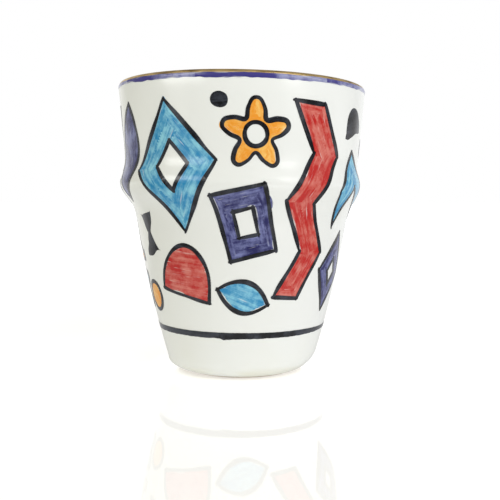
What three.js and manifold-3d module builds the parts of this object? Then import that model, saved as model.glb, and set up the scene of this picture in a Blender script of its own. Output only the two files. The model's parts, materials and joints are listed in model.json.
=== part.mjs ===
// A coffee cup without a handle: a clay body with one rib, glazed inside and out, with a gold line and
// a blue band at the lip, a black line above the foot, and painted motifs between them.
// Millimetres, +Z up, the foot on z = 0, the front of the cup towards -Y.

import * as THREE from 'three';
import { mergeGeometries, mergeVertices } from 'three/addons/utils/BufferGeometryUtils.js';
import Module from 'manifold-3d';

const wasm = await Module();
wasm.setup();

// The cup as a whole. Radii and heights are those of the glazed surface.
const CUP_HEIGHT = 92;
const RIM_RADIUS = 40;
const WALL = 3.2;
const RIM_LEAN_DEG = 1.03; // the rim of this hand-made cup drops towards +X

// The lower wall, a slightly bowed cone standing on a rounded corner.
const LOWER_WALL_BASE_RADIUS = 22.9; // where the cone would meet the ground
const LOWER_WALL_BOW = 1.1;
const CORNER_RADIUS = 9.5;

// The shoulder, where the lower wall steps out to the upper wall, and the rib just above it.
const SHOULDER_HEIGHT = 53.3;
const SHOULDER_RUN = 10.4;
const SHOULDER_STEP = 1.3;
const UPPER_WALL_FLARE = 3.8; // from the shoulder out to the rim
const RIB_ABOVE_SHOULDER = 6.9;
const RIB_RISE = 2.1;
const RIB_RISE_INSIDE = 1.0;
const RIB_SPREAD = 4.7;

// The foot and the floor.
const FOOT_RADIUS = 17.5;
const FOOT_RING_WIDTH = 4.5;
const FOOT_RECESS = 1.5;
const FLOOR_HEIGHT = 6;
const FLOOR_CORNER_RADIUS = 9;

// The glaze coats. The outer one stops a little above the ground and leaves the foot bare.
const GLAZE = 0.4;
const GLAZE_LINE = 1;
const RECESS_CLEARANCE = 0.15;

// The paint, which lies on the glaze with a hair of clearance.
const PAINT = 0.15;
const PAINT_CLEARANCE = 0.05;
const GOLD_DROP_OUTSIDE = 1;
const GOLD_DROP_INSIDE = 0.6;
const BLUE_BAND_WIDTH = 1.4;
const BLACK_LINE_TOP = 15.9;
const BLACK_LINE_WIDTH = 1.8;

// How finely round shapes are cut into flats.
const SEGMENTS = 32;
const CORNER_STEPS = 4;
const LOWER_WALL_STEPS = 3;
const RIB_STEPS = 8;
const RIB_STEPS_INSIDE = 5;
const LIP_STEPS = 3;
const DOT_SIDES = 16;
const PETAL_SIDES = 6;
const MOTIF_SIDE = 7;
const WELD = 1e-4;

const UPPER_WALL_BASE_RADIUS = RIM_RADIUS - UPPER_WALL_FLARE;
const LOWER_WALL_TOP_RADIUS = UPPER_WALL_BASE_RADIUS - SHOULDER_STEP;
const RIB_HEIGHT = SHOULDER_HEIGHT + RIB_ABOVE_SHOULDER;
const RIB_END = RIB_HEIGHT + 2.2 * RIB_SPREAD; // the rib has faded out here
const LIP_RADIUS = WALL / 2;
const FIELD_LOW = BLACK_LINE_TOP;
const FIELD_HIGH = CUP_HEIGHT - GOLD_DROP_OUTSIDE - BLUE_BAND_WIDTH;

const COLOURS = {
  clay: { color: '#d9cfbd', roughness: 0.85 },
  glaze: { color: '#efefe8', roughness: 0.12 },
  gold: { color: '#b98f45', roughness: 0.25, metalness: 1 },
  indigo: { color: '#3f3a86', roughness: 0.15 },
  turquoise: { color: '#3f97c6', roughness: 0.15 },
  red: { color: '#cc3330', roughness: 0.15 },
  orange: { color: '#f2a33a', roughness: 0.15 },
  black: { color: '#24252e', roughness: 0.15 },
};

// Outlines, as points of radius and height

function spaced(from, to, steps) {
  return Array.from({ length: steps + 1 }, (_, i) => from + ((to - from) * i) / steps);
}

// Radius of the wall at a height: lower wall, shoulder, upper wall and rib in one smooth line.
function wallRadius(height, ribRise) {
  const share = height / SHOULDER_HEIGHT;
  const cone = THREE.MathUtils.lerp(LOWER_WALL_BASE_RADIUS, LOWER_WALL_TOP_RADIUS, share);
  const lower = cone + LOWER_WALL_BOW * 4 * share * (1 - share);
  const upperShare = (height - SHOULDER_HEIGHT) / (CUP_HEIGHT - SHOULDER_HEIGHT);
  const upper = THREE.MathUtils.lerp(UPPER_WALL_BASE_RADIUS, RIM_RADIUS, upperShare);
  const start = SHOULDER_HEIGHT - SHOULDER_RUN / 2;
  const step = THREE.MathUtils.smoothstep(height, start, start + SHOULDER_RUN);
  const rib = ribRise * Math.exp(-(((height - RIB_HEIGHT) / RIB_SPREAD) ** 2));
  return THREE.MathUtils.lerp(lower, upper, step) + rib;
}

const outsideRadius = (height) => wallRadius(height, RIB_RISE);
const insideRadius = (height) => wallRadius(height, RIB_RISE_INSIDE) - WALL;

// Heights at which the wall is cut into flats: close together over the shoulder and the rib.
function wallHeights(low, high, ribSteps) {
  const start = SHOULDER_HEIGHT - SHOULDER_RUN / 2;
  const heights = [...spaced(low, start, LOWER_WALL_STEPS), ...spaced(start, RIB_END, ribSteps).slice(1)];
  return heights.filter((height) => height > low && height < high);
}

// Quarter round from level ground up into a leaning wall, from the angle where it leaves the ground.
function cornerArc(radiusAt, ground, cornerRadius, startAngle) {
  const wallLean = Math.atan((radiusAt(ground + cornerRadius) - radiusAt(ground)) / cornerRadius);
  const wallHeight = ground + cornerRadius * (1 - Math.sin(wallLean));
  const centre = radiusAt(wallHeight) - cornerRadius * Math.cos(wallLean);
  return spaced(startAngle, wallLean, CORNER_STEPS).map((angle) => new THREE.Vector2(
    centre + cornerRadius * Math.cos(angle),
    ground + cornerRadius * (1 - Math.sin(angle)),
  ));
}

function lipArc(startAngle, endAngle) {
  const height = CUP_HEIGHT - LIP_RADIUS;
  const centre = outsideRadius(height) - LIP_RADIUS;
  return spaced(startAngle, endAngle, LIP_STEPS).map((angle) => new THREE.Vector2(
    centre + LIP_RADIUS * Math.cos(angle),
    height + LIP_RADIUS * Math.sin(angle),
  ));
}

const wallPoint = (radiusAt) => (height) => new THREE.Vector2(radiusAt(height), height);

// The outside from the glaze line to the crown of the lip, and the inside from there to the floor.
function glazedOutside() {
  const startAngle = Math.asin(1 - GLAZE_LINE / CORNER_RADIUS);
  const corner = cornerArc(outsideRadius, 0, CORNER_RADIUS, startAngle);
  const heights = wallHeights(corner.at(-1).y, CUP_HEIGHT - LIP_RADIUS, RIB_STEPS);
  return [...corner, ...heights.map(wallPoint(outsideRadius)), ...lipArc(0, Math.PI / 2)];
}

function glazedInside() {
  const corner = cornerArc(insideRadius, FLOOR_HEIGHT, FLOOR_CORNER_RADIUS, Math.PI / 2);
  const heights = wallHeights(corner.at(-1).y, CUP_HEIGHT - LIP_RADIUS, RIB_STEPS_INSIDE);
  const floorToLip = [new THREE.Vector2(0, FLOOR_HEIGHT), ...corner, ...heights.map(wallPoint(insideRadius))];
  return [...lipArc(Math.PI / 2, Math.PI), ...floorToLip.reverse()];
}

const OUTSIDE = glazedOutside();
const SURFACE = [...OUTSIDE, ...glazedInside().slice(1)];
const CROWN = OUTSIDE.length;

// The whole surface moved along its own normals: out of the cup, or into the clay if negative.
function offsetSurface(distance) {
  return SURFACE.map((point, i) => {
    const before = SURFACE[Math.max(i - 1, 0)];
    const after = SURFACE[Math.min(i + 1, SURFACE.length - 1)];
    const normal = new THREE.Vector2(after.y - before.y, before.x - after.x).normalize();
    return point.clone().addScaledVector(normal, distance);
  });
}

// The part of a rising outline between two heights, with its ends cut level.
function between(outline, low, high) {
  const at = (height) => {
    const i = outline.findIndex((point) => point.y > height);
    const share = (height - outline[i - 1].y) / (outline[i].y - outline[i - 1].y);
    return outline[i - 1].clone().lerp(outline[i], share);
  };
  return [at(low), ...outline.filter((point) => point.y > low && point.y < high), at(high)];
}

// The part of an outline above a height, over the lip from the outside to the inside.
function aboveLip(outline, lowOutside, lowInside) {
  const rise = outline.slice(0, CROWN);
  const fall = outline.slice(CROWN - 1).reverse();
  const crown = outline[CROWN - 1];
  const outside = between(rise, lowOutside, crown.y - WELD).slice(0, -1);
  const inside = between(fall, lowInside, crown.y - WELD).slice(0, -1);
  return [...outside, crown, ...inside.reverse()];
}

// Solids

function leanTowardsRim(geometry) {
  const slope = Math.tan(THREE.MathUtils.degToRad(RIM_LEAN_DEG)) / CUP_HEIGHT;
  const position = geometry.getAttribute('position');
  for (let i = 0; i < position.count; i += 1) {
    position.setZ(i, position.getZ(i) * (1 - position.getX(i) * slope));
  }
  return geometry;
}

// Turns an outline about the vertical axis. It runs up the outside of the solid and down the inside.
function turned(outline) {
  return new THREE.LatheGeometry(outline, SEGMENTS).rotateX(Math.PI / 2);
}

// A coat between its own outline and the outline of what it lies on, both run the same way, so that
// the underside of the coat has the very triangles of the surface below it.
function turnedCoat(top, under) {
  const lining = turned(under);
  const corners = lining.getIndex().array;
  for (let i = 0; i < corners.length; i += 3) {
    [corners[i], corners[i + 1]] = [corners[i + 1], corners[i]];
  }
  return mergeGeometries([turned([under[0], ...top, under.at(-1)]), lining]);
}

function toSolid(geometry) {
  geometry.deleteAttribute('normal');
  geometry.deleteAttribute('uv');
  const merged = mergeVertices(geometry, WELD);
  const mesh = new wasm.Mesh({
    numProp: 3,
    vertProperties: merged.getAttribute('position').array,
    triVerts: new Uint32Array(merged.getIndex().array),
  });
  return new wasm.Manifold(mesh);
}

function toGeometry(solid) {
  const mesh = solid.getMesh();
  const geometry = new THREE.BufferGeometry();
  geometry.setAttribute('position', new THREE.BufferAttribute(mesh.vertProperties, 3));
  geometry.setIndex(new THREE.BufferAttribute(mesh.triVerts, 1));
  return geometry;
}

function piece(name, geometry, colour) {
  const leaning = leanTowardsRim(geometry);
  leaning.computeVertexNormals();
  const mesh = new THREE.Mesh(leaning, new THREE.MeshStandardMaterial(COLOURS[colour]));
  mesh.name = name;
  return mesh;
}

// Motif outlines, drawn flat about their centres, w across and h tall

const pointsOf = (...pairs) => pairs.map(([x, y]) => new THREE.Vector2(x, y));

function lozenge(w, h) {
  return pointsOf([w / 2, 0], [0, h / 2], [-w / 2, 0], [0, -h / 2]);
}

function tile(w, h) {
  return pointsOf([w / 2, -h / 2], [w / 2, h / 2], [-w / 2, h / 2], [-w / 2, -h / 2]);
}

function dot(w, h) {
  return spaced(0, 2 * Math.PI, DOT_SIDES).slice(1).map((turn) => (
    new THREE.Vector2((w / 2) * Math.cos(turn), (h / 2) * Math.sin(turn))
  ));
}

function flower(w, h) {
  const petals = 5;
  const petalShare = 0.26;
  return spaced(0, 2 * Math.PI, petals * PETAL_SIDES).slice(1).map((turn) => {
    const reach = 1 - petalShare + petalShare * Math.cos(petals * (turn - Math.PI / 2));
    return new THREE.Vector2((w / 2) * reach * Math.cos(turn), (h / 2) * reach * Math.sin(turn));
  });
}

function leaf(w, h) {
  const right = spaced(-1, 1, 6).map((t) => new THREE.Vector2((w / 2) * (1 - t * t), (h / 2) * t));
  const left = right.slice(1, -1).reverse().map((point) => new THREE.Vector2(-point.x, point.y));
  return [...right, ...left];
}

function halfMoon(w, h) {
  return spaced(0, Math.PI, 9).map((turn) => (
    new THREE.Vector2((w / 2) * Math.cos(turn), h * (Math.sin(turn) - 0.5))
  ));
}

function crescent(w, h) {
  const arc = (depth, reach) => spaced(0, Math.PI, 8).map((turn) => (
    new THREE.Vector2(w / 2 - depth * Math.sin(turn), reach * Math.cos(turn))
  ));
  return [...arc(w, h / 2), ...arc(w * 0.45, h * 0.4).reverse()];
}

function chevron(w, h) {
  const arm = h * 0.5;
  const right = pointsOf([0, h / 2 - arm], [w / 2, -h / 2], [w / 2, arm - h / 2]);
  return [...right, ...pointsOf([0, h / 2], [-w / 2, arm - h / 2], [-w / 2, -h / 2])];
}

function zigzag(w, h) {
  const band = w * 0.56;
  const right = spaced(0, 4, 4).map((i) => (
    new THREE.Vector2((i % 2 ? w - band : band - w) / 2 + band / 2, h * (i / 4 - 0.5))
  ));
  const left = right.map((point) => new THREE.Vector2(point.x - band, point.y)).reverse();
  return [...right, ...left];
}

function hourglass(w, h) {
  const waist = w * 0.15;
  const right = pointsOf([w / 2, -h / 2], [waist, 0], [w / 2, h / 2]);
  return [...right, ...pointsOf([-w / 2, h / 2], [-waist, 0], [-w / 2, -h / 2])];
}

// The motifs: place round the cup from the front and width, in degrees; height of the centre and
// tallness, as shares of the painted field; tilt in degrees; hole, as a share of the motif.
const MOTIFS = [
  { name: 'lozenge_turquoise', shape: lozenge, at: -32, up: 0.67, wide: 42, tall: 0.52, tilt: 6, hole: 0.38 },
  { name: 'flower_orange', shape: flower, at: 6, up: 0.79, wide: 30, tall: 0.28, tilt: 0, hole: 0.32 },
  { name: 'tile_indigo', shape: tile, at: 2, up: 0.45, wide: 24, tall: 0.27, tilt: 14, hole: 0.4 },
  { name: 'zigzag_red', shape: zigzag, at: 34, up: 0.53, wide: 27, tall: 0.78, tilt: -3 },
  { name: 'halfmoon_red', shape: halfMoon, at: -32, up: 0.25, wide: 33, tall: 0.21, tilt: -12 },
  { name: 'leaf_turquoise', shape: leaf, at: 1, up: 0.15, wide: 18, tall: 0.215, tilt: 72 },
  { name: 'dot_black', shape: dot, at: -9, up: 0.92, wide: 8, tall: 0.07, tilt: 0 },
  { name: 'hourglass_black', shape: hourglass, at: -57, up: 0.4, wide: 14, tall: 0.17, tilt: 10 },
  { name: 'dot_orange', shape: dot, at: -64, up: 0.13, wide: 15, tall: 0.12, tilt: 0 },
  { name: 'leaf_indigo', shape: leaf, at: -65, up: 0.73, wide: 20, tall: 0.4, tilt: -10 },
  { name: 'chevron_turquoise', shape: chevron, at: 65, up: 0.6, wide: 28, tall: 0.3, tilt: 8 },
  { name: 'halfmoon_black', shape: halfMoon, at: 62, up: 0.87, wide: 18, tall: 0.12, tilt: 12 },
  { name: 'lozenge_indigo', shape: lozenge, at: 62, up: 0.24, wide: 28, tall: 0.34, tilt: -8, hole: 0.34 },
  { name: 'crescent_orange', shape: crescent, at: -86, up: 0.43, wide: 18, tall: 0.34, tilt: 12 },
  { name: 'flower_red', shape: flower, at: 97, up: 0.77, wide: 31, tall: 0.32, tilt: 20, hole: 0.3 },
  { name: 'leaf_orange', shape: leaf, at: 97, up: 0.35, wide: 20, tall: 0.42, tilt: 14 },
  { name: 'tile_turquoise', shape: tile, at: 128, up: 0.66, wide: 23, tall: 0.44, tilt: -8, hole: 0.38 },
  { name: 'hourglass_red', shape: hourglass, at: 126, up: 0.23, wide: 21, tall: 0.26, tilt: -8 },
  { name: 'zigzag_indigo', shape: zigzag, at: 159, up: 0.54, wide: 26, tall: 0.76, tilt: 4 },
  { name: 'lozenge_orange', shape: lozenge, at: 192, up: 0.7, wide: 36, tall: 0.46, tilt: -6, hole: 0.36 },
  { name: 'chevron_red', shape: chevron, at: 191, up: 0.31, wide: 27, tall: 0.27, tilt: -10 },
  { name: 'dot_indigo', shape: dot, at: 187, up: 0.09, wide: 15, tall: 0.11, tilt: 0 },
  { name: 'crescent_turquoise', shape: crescent, at: 221, up: 0.57, wide: 22, tall: 0.54, tilt: -8 },
  { name: 'halfmoon_orange', shape: halfMoon, at: 219, up: 0.16, wide: 28, tall: 0.17, tilt: 8 },
  { name: 'leaf_red', shape: leaf, at: 248, up: 0.67, wide: 19, tall: 0.46, tilt: 12 },
  { name: 'tile_black', shape: tile, at: 245, up: 0.26, wide: 14, tall: 0.15, tilt: 24 },
  { name: 'hourglass_turquoise', shape: hourglass, at: 272, up: 0.8, wide: 18, tall: 0.26, tilt: -6 },
  { name: 'flower_turquoise', shape: flower, at: 273, up: 0.16, wide: 28, tall: 0.23, tilt: 10, hole: 0.3 },
];

// An outline with its long sides split, so that they bend round the cup.
function shortSided(points) {
  return points.flatMap((point, i) => {
    const next = points[(i + 1) % points.length];
    const steps = Math.ceil(point.distanceTo(next) / MOTIF_SIDE);
    return spaced(0, 1, steps).slice(0, -1).map((share) => point.clone().lerp(next, share));
  });
}

// A flat motif wrapped round the cup as a wedge. Its sides run from inside the wall to well outside it,
// and hold the motif's outline just under the glaze.
function motifWedge({ shape, at, up, wide, tall, tilt, hole }) {
  const height = THREE.MathUtils.lerp(FIELD_LOW, FIELD_HIGH, up);
  const radius = outsideRadius(height);
  const centre = THREE.MathUtils.degToRad(at);
  const w = THREE.MathUtils.degToRad(wide) * radius;
  const h = tall * (FIELD_HIGH - FIELD_LOW);
  const turn = THREE.MathUtils.degToRad(tilt);
  const tilted = (points) => (
    shortSided(points).map((point) => point.rotateAround(new THREE.Vector2(), turn))
  );
  const flat = new THREE.Shape(tilted(shape(w, h)));
  const holeShape = shape === flower ? dot : shape;
  if (hole) flat.holes.push(new THREE.Path(tilted(holeShape(w * hole, h * hole))));
  const wedge = new THREE.ExtrudeGeometry(flat, { depth: 2, steps: 2, bevelEnabled: false });
  const position = wedge.getAttribute('position');
  for (let i = 0; i < position.count; i += 1) {
    const angle = centre + position.getX(i) / radius;
    const z = height + position.getY(i);
    const reaches = [radius / 2, outsideRadius(z) - GLAZE, radius * 1.6];
    const reach = reaches[Math.round(position.getZ(i))];
    position.setXYZ(i, reach * Math.sin(angle), -reach * Math.cos(angle), z);
  }
  return wedge;
}

// The assembly

const claySurface = offsetSurface(-GLAZE);
const paintUnder = offsetSurface(PAINT_CLEARANCE);
const paintTop = offsetSurface(PAINT_CLEARANCE + PAINT);

function clayBody() {
  const footInside = FOOT_RADIUS - FOOT_RING_WIDTH;
  const underside = pointsOf([0, FOOT_RECESS], [footInside, FOOT_RECESS], [footInside, 0], [FOOT_RADIUS, 0]);
  return turned([...underside, ...claySurface]);
}

function outerGlaze() {
  return turnedCoat(SURFACE.slice(0, CROWN), claySurface.slice(0, CROWN));
}

function innerGlaze() {
  return turnedCoat(SURFACE.slice(CROWN - 1), claySurface.slice(CROWN - 1));
}

function recessGlaze() {
  const edge = FOOT_RADIUS - FOOT_RING_WIDTH - RECESS_CLEARANCE;
  const under = FOOT_RECESS - GLAZE;
  return turned(pointsOf([0, under], [edge, under], [edge, FOOT_RECESS], [0, FOOT_RECESS]));
}

function paintedRing(low, high) {
  const rise = (outline) => between(outline.slice(0, CROWN), low, high);
  return turnedCoat(rise(paintTop), rise(paintUnder));
}

function goldLine() {
  const over = (outline) => (
    aboveLip(outline, CUP_HEIGHT - GOLD_DROP_OUTSIDE, CUP_HEIGHT - GOLD_DROP_INSIDE)
  );
  return turnedCoat(over(paintTop), over(paintUnder));
}

const cup = new THREE.Group();
cup.name = 'coffee_cup';
cup.add(
  piece('clay_body', clayBody(), 'clay'),
  piece('outer_glaze', outerGlaze(), 'glaze'),
  piece('inner_glaze', innerGlaze(), 'glaze'),
  piece('recess_glaze', recessGlaze(), 'glaze'),
  piece('rim_gold_line', goldLine(), 'gold'),
  piece('rim_blue_band', paintedRing(FIELD_HIGH, CUP_HEIGHT - GOLD_DROP_OUTSIDE), 'indigo'),
  piece('base_black_line', paintedRing(BLACK_LINE_TOP - BLACK_LINE_WIDTH, BLACK_LINE_TOP), 'black'),
);

const field = toSolid(paintedRing(FIELD_LOW, FIELD_HIGH));
const painting = new THREE.Group();
painting.name = 'painting';
for (const motif of MOTIFS) {
  const patch = field.intersect(toSolid(motifWedge(motif)));
  painting.add(piece(`painted_${motif.name}`, toGeometry(patch), motif.name.split('_')[1]));
}
cup.add(painting);

export default cup;
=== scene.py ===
"""The coffee cup's looks: smooth clay and glaze, a gold lip, painted lines and brushed motifs."""

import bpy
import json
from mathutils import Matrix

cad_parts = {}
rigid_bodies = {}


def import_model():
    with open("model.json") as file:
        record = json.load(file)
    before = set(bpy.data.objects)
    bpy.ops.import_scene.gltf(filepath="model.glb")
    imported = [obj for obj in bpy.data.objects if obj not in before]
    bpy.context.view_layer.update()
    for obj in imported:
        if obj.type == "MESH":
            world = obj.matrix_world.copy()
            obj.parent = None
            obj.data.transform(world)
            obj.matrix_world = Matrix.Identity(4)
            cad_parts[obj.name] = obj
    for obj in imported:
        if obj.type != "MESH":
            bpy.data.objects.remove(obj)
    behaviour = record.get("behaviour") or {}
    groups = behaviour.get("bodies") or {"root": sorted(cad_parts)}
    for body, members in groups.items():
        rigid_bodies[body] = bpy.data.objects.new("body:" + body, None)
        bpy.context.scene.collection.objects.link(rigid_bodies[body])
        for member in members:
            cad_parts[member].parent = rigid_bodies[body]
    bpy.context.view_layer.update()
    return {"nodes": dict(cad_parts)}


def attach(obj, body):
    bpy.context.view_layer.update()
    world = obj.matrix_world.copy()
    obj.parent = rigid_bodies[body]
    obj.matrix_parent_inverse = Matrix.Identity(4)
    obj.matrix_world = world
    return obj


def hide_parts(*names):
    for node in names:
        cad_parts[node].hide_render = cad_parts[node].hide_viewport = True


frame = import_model()

import json
import math
from functools import partial

import bmesh
import bpy
import numpy as np
from bpy.props import FloatProperty, FloatVectorProperty, IntProperty, PointerProperty
from bpy.types import Operator, Panel, PropertyGroup
from mathutils import Matrix, Vector, noise
from mathutils.geometry import delaunay_2d_cdt

bl_info = {
    "name": "Painted coffee cup",
    "version": (1, 0, 0),
    "blender": (4, 5, 0),
    "location": "View3D > Sidebar > Coffee cup",
    "description": "Makes a thrown, glazed and hand-painted coffee cup",
    "category": "Object",
}

MM = 0.001
QUARTER_TURN = np.array([[0, 1], [-1, 0]])

# Turns past which a thrown face, a face of paint and a drawn line have a corner
THROWN_CREASE, PAINT_CREASE, CORNER_TURN = (math.radians(turn) for turn in (40, 45, 40))

# Points along a round corner, and along an arc of the lip
CORNER_POINTS, LIP_POINTS = 16, 12

# Millimetres between points inside a colour, and inside an outline
FILL_SPACING, OUTLINE_SPACING = 0.85, 0.7

# How far the brush's map moves from one seed to the next, along and across
BRUSH_SHIFT = np.array([71, 37])

# Steps round a painted line, and where it starts and ends, in degrees to the right of the front
RING_COLUMNS = 960
BAND_JOINT, LINE_JOINT = 38, -14

# Strokes round the cup: degrees from the joint to each start, and how full the brush is there
# The band's refills also set where it runs thin and pale under the lamps' glints on the lip: a
# painted highlight on top of the brush's load
BAND_REFILLS_AND_GLINTS = ((0, 0.65), (84, 0.9), (168, 0.8), (262, 1.5), (303, 1.2), (318, 1.1))
LINE_STROKES = ((0, 0.6), (120, 0.7), (240, 0.6))

# Degrees that a full brush lasts on each, and how full it still is then
BAND_LASTS, LINE_LASTS = 27, 90
NEARLY_DRY = 0.3

# Middle of the cup, which the lamps face
LAMP_AIM = Vector((0, 0, 60 * MM))


# Properties

def plain(name):
    """A name of the script in plain words"""
    return name.replace("_", " ").capitalize()


def named(group):
    """Makes each property of a group under its own name"""
    makers = group.__annotations__
    group.__annotations__ = {name: make(name=plain(name)) for name, make in makers.items()}
    return group


def length(description, millimetres):
    return partial(FloatProperty, description=description, default=millimetres * MM,
                   min=0, unit="LENGTH", precision=5)


def angle(description, degrees):
    return partial(FloatProperty, description=description, default=math.radians(degrees),
                   subtype="ANGLE")


def factor(description, value):
    return partial(FloatProperty, description=description, default=value, min=0)


def colour(description, *srgb):
    linear = [((c / 255 + 0.055) / 1.055) ** 2.4 if c > 10 else c / 255 / 12.92 for c in srgb]
    return partial(FloatVectorProperty, description=description, default=linear,
                   subtype="COLOR", size=3, min=0, max=1)


@named
class CupForm(PropertyGroup):
    """Sizes of the thrown cup, at the glazed surface"""

    height: length("From the ground to the crown of the lip", 92)
    rim_radius: length("Where the upper wall would meet the full height", 40)
    wall: length("Thickness of the wall, glaze included", 3.2)
    rim_lean: angle("How far the rim drops towards the right", 1.03)
    base_radius: length("Where the lower wall would meet the ground", 22.9)
    lower_bow: length("How far the lower wall bows outwards", 1.1)
    corner_radius: length("Rounding between the lower wall and the ground", 9.5)
    shoulder_height: length("Middle of the step to the upper wall", 53.3)
    shoulder_run: length("Height over which the wall steps out", 10.4)
    shoulder_step: length("How far the wall steps out", 1.3)
    upper_flare: length("How far the upper wall leans out", 3.8)
    rib_above_shoulder: length("From the shoulder to the crest of the rib", 6.9)
    rib_rise: length("How far the rib stands out", 2.1)
    rib_rise_inside: length("How far the rib shows inside the cup", 1.0)
    rib_spread: length("How broad the rib is", 4.7)
    rib_stray: length("How far the rib is off centre, to the left", 0.46)
    foot_radius: length("Outside of the foot ring", 17.5)
    foot_fullness: length("How much fuller the foot's corner is on the left", 1.25)
    foot_ring_width: length("Width of the bare clay ring", 4.5)
    foot_recess: length("Depth of the hollow under the foot", 1.5)
    floor_height: length("From the ground to the floor inside", 6)
    floor_corner_radius: length("Rounding between floor and wall", 9)
    glaze: length("Thickness of the glaze", 0.4)
    glaze_line: length("Bare clay left above the ground", 1)
    unevenness: length("How far the thrown wall strays from round", 0.12)
    segments: partial(IntProperty, description="Steps round the cup", default=192, min=12)


@named
class CupPaint(PropertyGroup):
    """Sizes of the brushwork"""

    gold_outside: length("How far the gold comes down outside the lip", 1.15)
    gold_inside: length("How far the gold comes down inside the lip", 0.6)
    blue_top: length("From the crown down to the blue band", 1.0)
    blue_width: length("Width of the blue band", 1.4)
    black_top: length("Height of the black line's upper edge", 15.9)
    black_width: length("Width of the black line", 1.8)
    outline_width: length("Width of the brush that outlines the motifs", 1.22)
    overshoot: length("How far strokes run past a corner", 0.55)
    hand: length("How far the brush strays from the drawn shape", 0.28)
    fill_shy: length("How far the colour stays inside its outline", 0.32)
    fill_rise: length("How far the colour stands on the glaze", 0.05)
    line_rise: length("How far the outlines stand on the glaze", 0.09)
    sink: length("How far the paint has sunk into the glaze", 0.03)


@named
class CupColours(PropertyGroup):
    """Colours of the clay, the glaze and the paints"""

    clay: colour("Bare clay of the foot", 226, 217, 202)
    glaze: colour("White glaze", 241, 243, 241)
    # Darker, yellower glaze colour, laid towards the foot, in blotches just above the glaze line
    # and in random patches
    glaze_pooled: colour("Glaze where it lies thick", 232, 232, 220)
    gold: colour("Gold lustre", 236, 204, 136)
    gold_thin: colour("Gold lustre where it is thin", 128, 102, 60)
    red: colour("Red paint", 191, 34, 30)
    red_wash: colour("Red paint where it is thin", 218, 126, 114)
    orange: colour("Orange paint", 243, 156, 44)
    orange_wash: colour("Orange paint where it is thin", 252, 204, 112)
    turquoise: colour("Turquoise paint", 38, 138, 192)
    turquoise_wash: colour("Turquoise paint where it is thin", 148, 214, 234)
    indigo: colour("Indigo paint", 34, 34, 92)
    indigo_wash: colour("Indigo paint where it is thin", 122, 128, 180)
    indigo_band: colour("Indigo paint of the band", 62, 58, 133)
    indigo_band_wash: colour("Indigo paint of the band where it is thin", 146, 149, 190)
    black: colour("Black paint", 13, 14, 19)
    black_wash: colour("Black paint where it is thin", 56, 60, 70)


@named
class CupStage(PropertyGroup):
    """Camera and lights"""

    camera_distance: length("From the cup's axis to the camera", 258.2)
    camera_height: length("From the ground to the camera", 56.6)
    camera_lens: factor("Focal length in millimetres", 56.15)
    camera_pitch: angle("How far the camera looks up", -3.911)
    camera_yaw: angle("How far the camera looks right", 0.622)
    camera_roll: angle("How far the camera is turned", 0.192)
    room_light: factor("Strength of the light from all round", 0.74)
    room_tint: colour("Colour of the light from the left", 255, 252, 226)
    room_gloss: factor("How much of the white room shows in the gloss", 0.42)
    left_light: factor("Power of the window that shows on the left, in watts", 1.6)
    right_light: factor("Power of the window that shows on the right, in watts", 0.4)
    panel_light: factor("Power of the dim panel under each window, in watts", 0.25)
    lip_light: factor("Power of each window that shows in the gold alone, in watts", 0.7)
    key_light: factor("Power of the large softbox high on the right, in watts", 4.25)
    floor_glow: factor("Light that the white floor gives off close to the cup", 0.33)
    floor_white: factor("Light of its own that the floor shows to the camera", 0.29)
    floor_sheen: factor("Light from the window that the floor on the right shows in the gloss", 1.8)
    floor_gloss: factor("How much of the floor close to the cup shows in the gloss", 0.6)


# Node trees

def both_ways(operation):
    """The two methods of an operator, for a wire before it and for a wire after it"""
    def before(self, other):
        return self.graph.maths(operation, self, other)

    def after(self, other):
        return self.graph.maths(operation, other, self)

    return before, after


class Wire:
    """A socket's value, which adds, multiplies and divides as a number does"""

    def __init__(self, graph, socket):
        self.graph = graph
        self.socket = socket

    __add__, __radd__ = both_ways("ADD")
    __sub__, __rsub__ = both_ways("SUBTRACT")
    __mul__, __rmul__ = both_ways("MULTIPLY")
    __truediv__, __rtruediv__ = both_ways("DIVIDE")
    __mod__, __rmod__ = both_ways("MODULO")

    def smooth(self, low, high):
        """0 below low, 1 above high and a smooth rise between"""
        return self.graph.add("ShaderNodeMapRange", {"interpolation_type": "SMOOTHSTEP"},
                              {"Value": self, "From Min": low, "From Max": high})["Result"]


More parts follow.
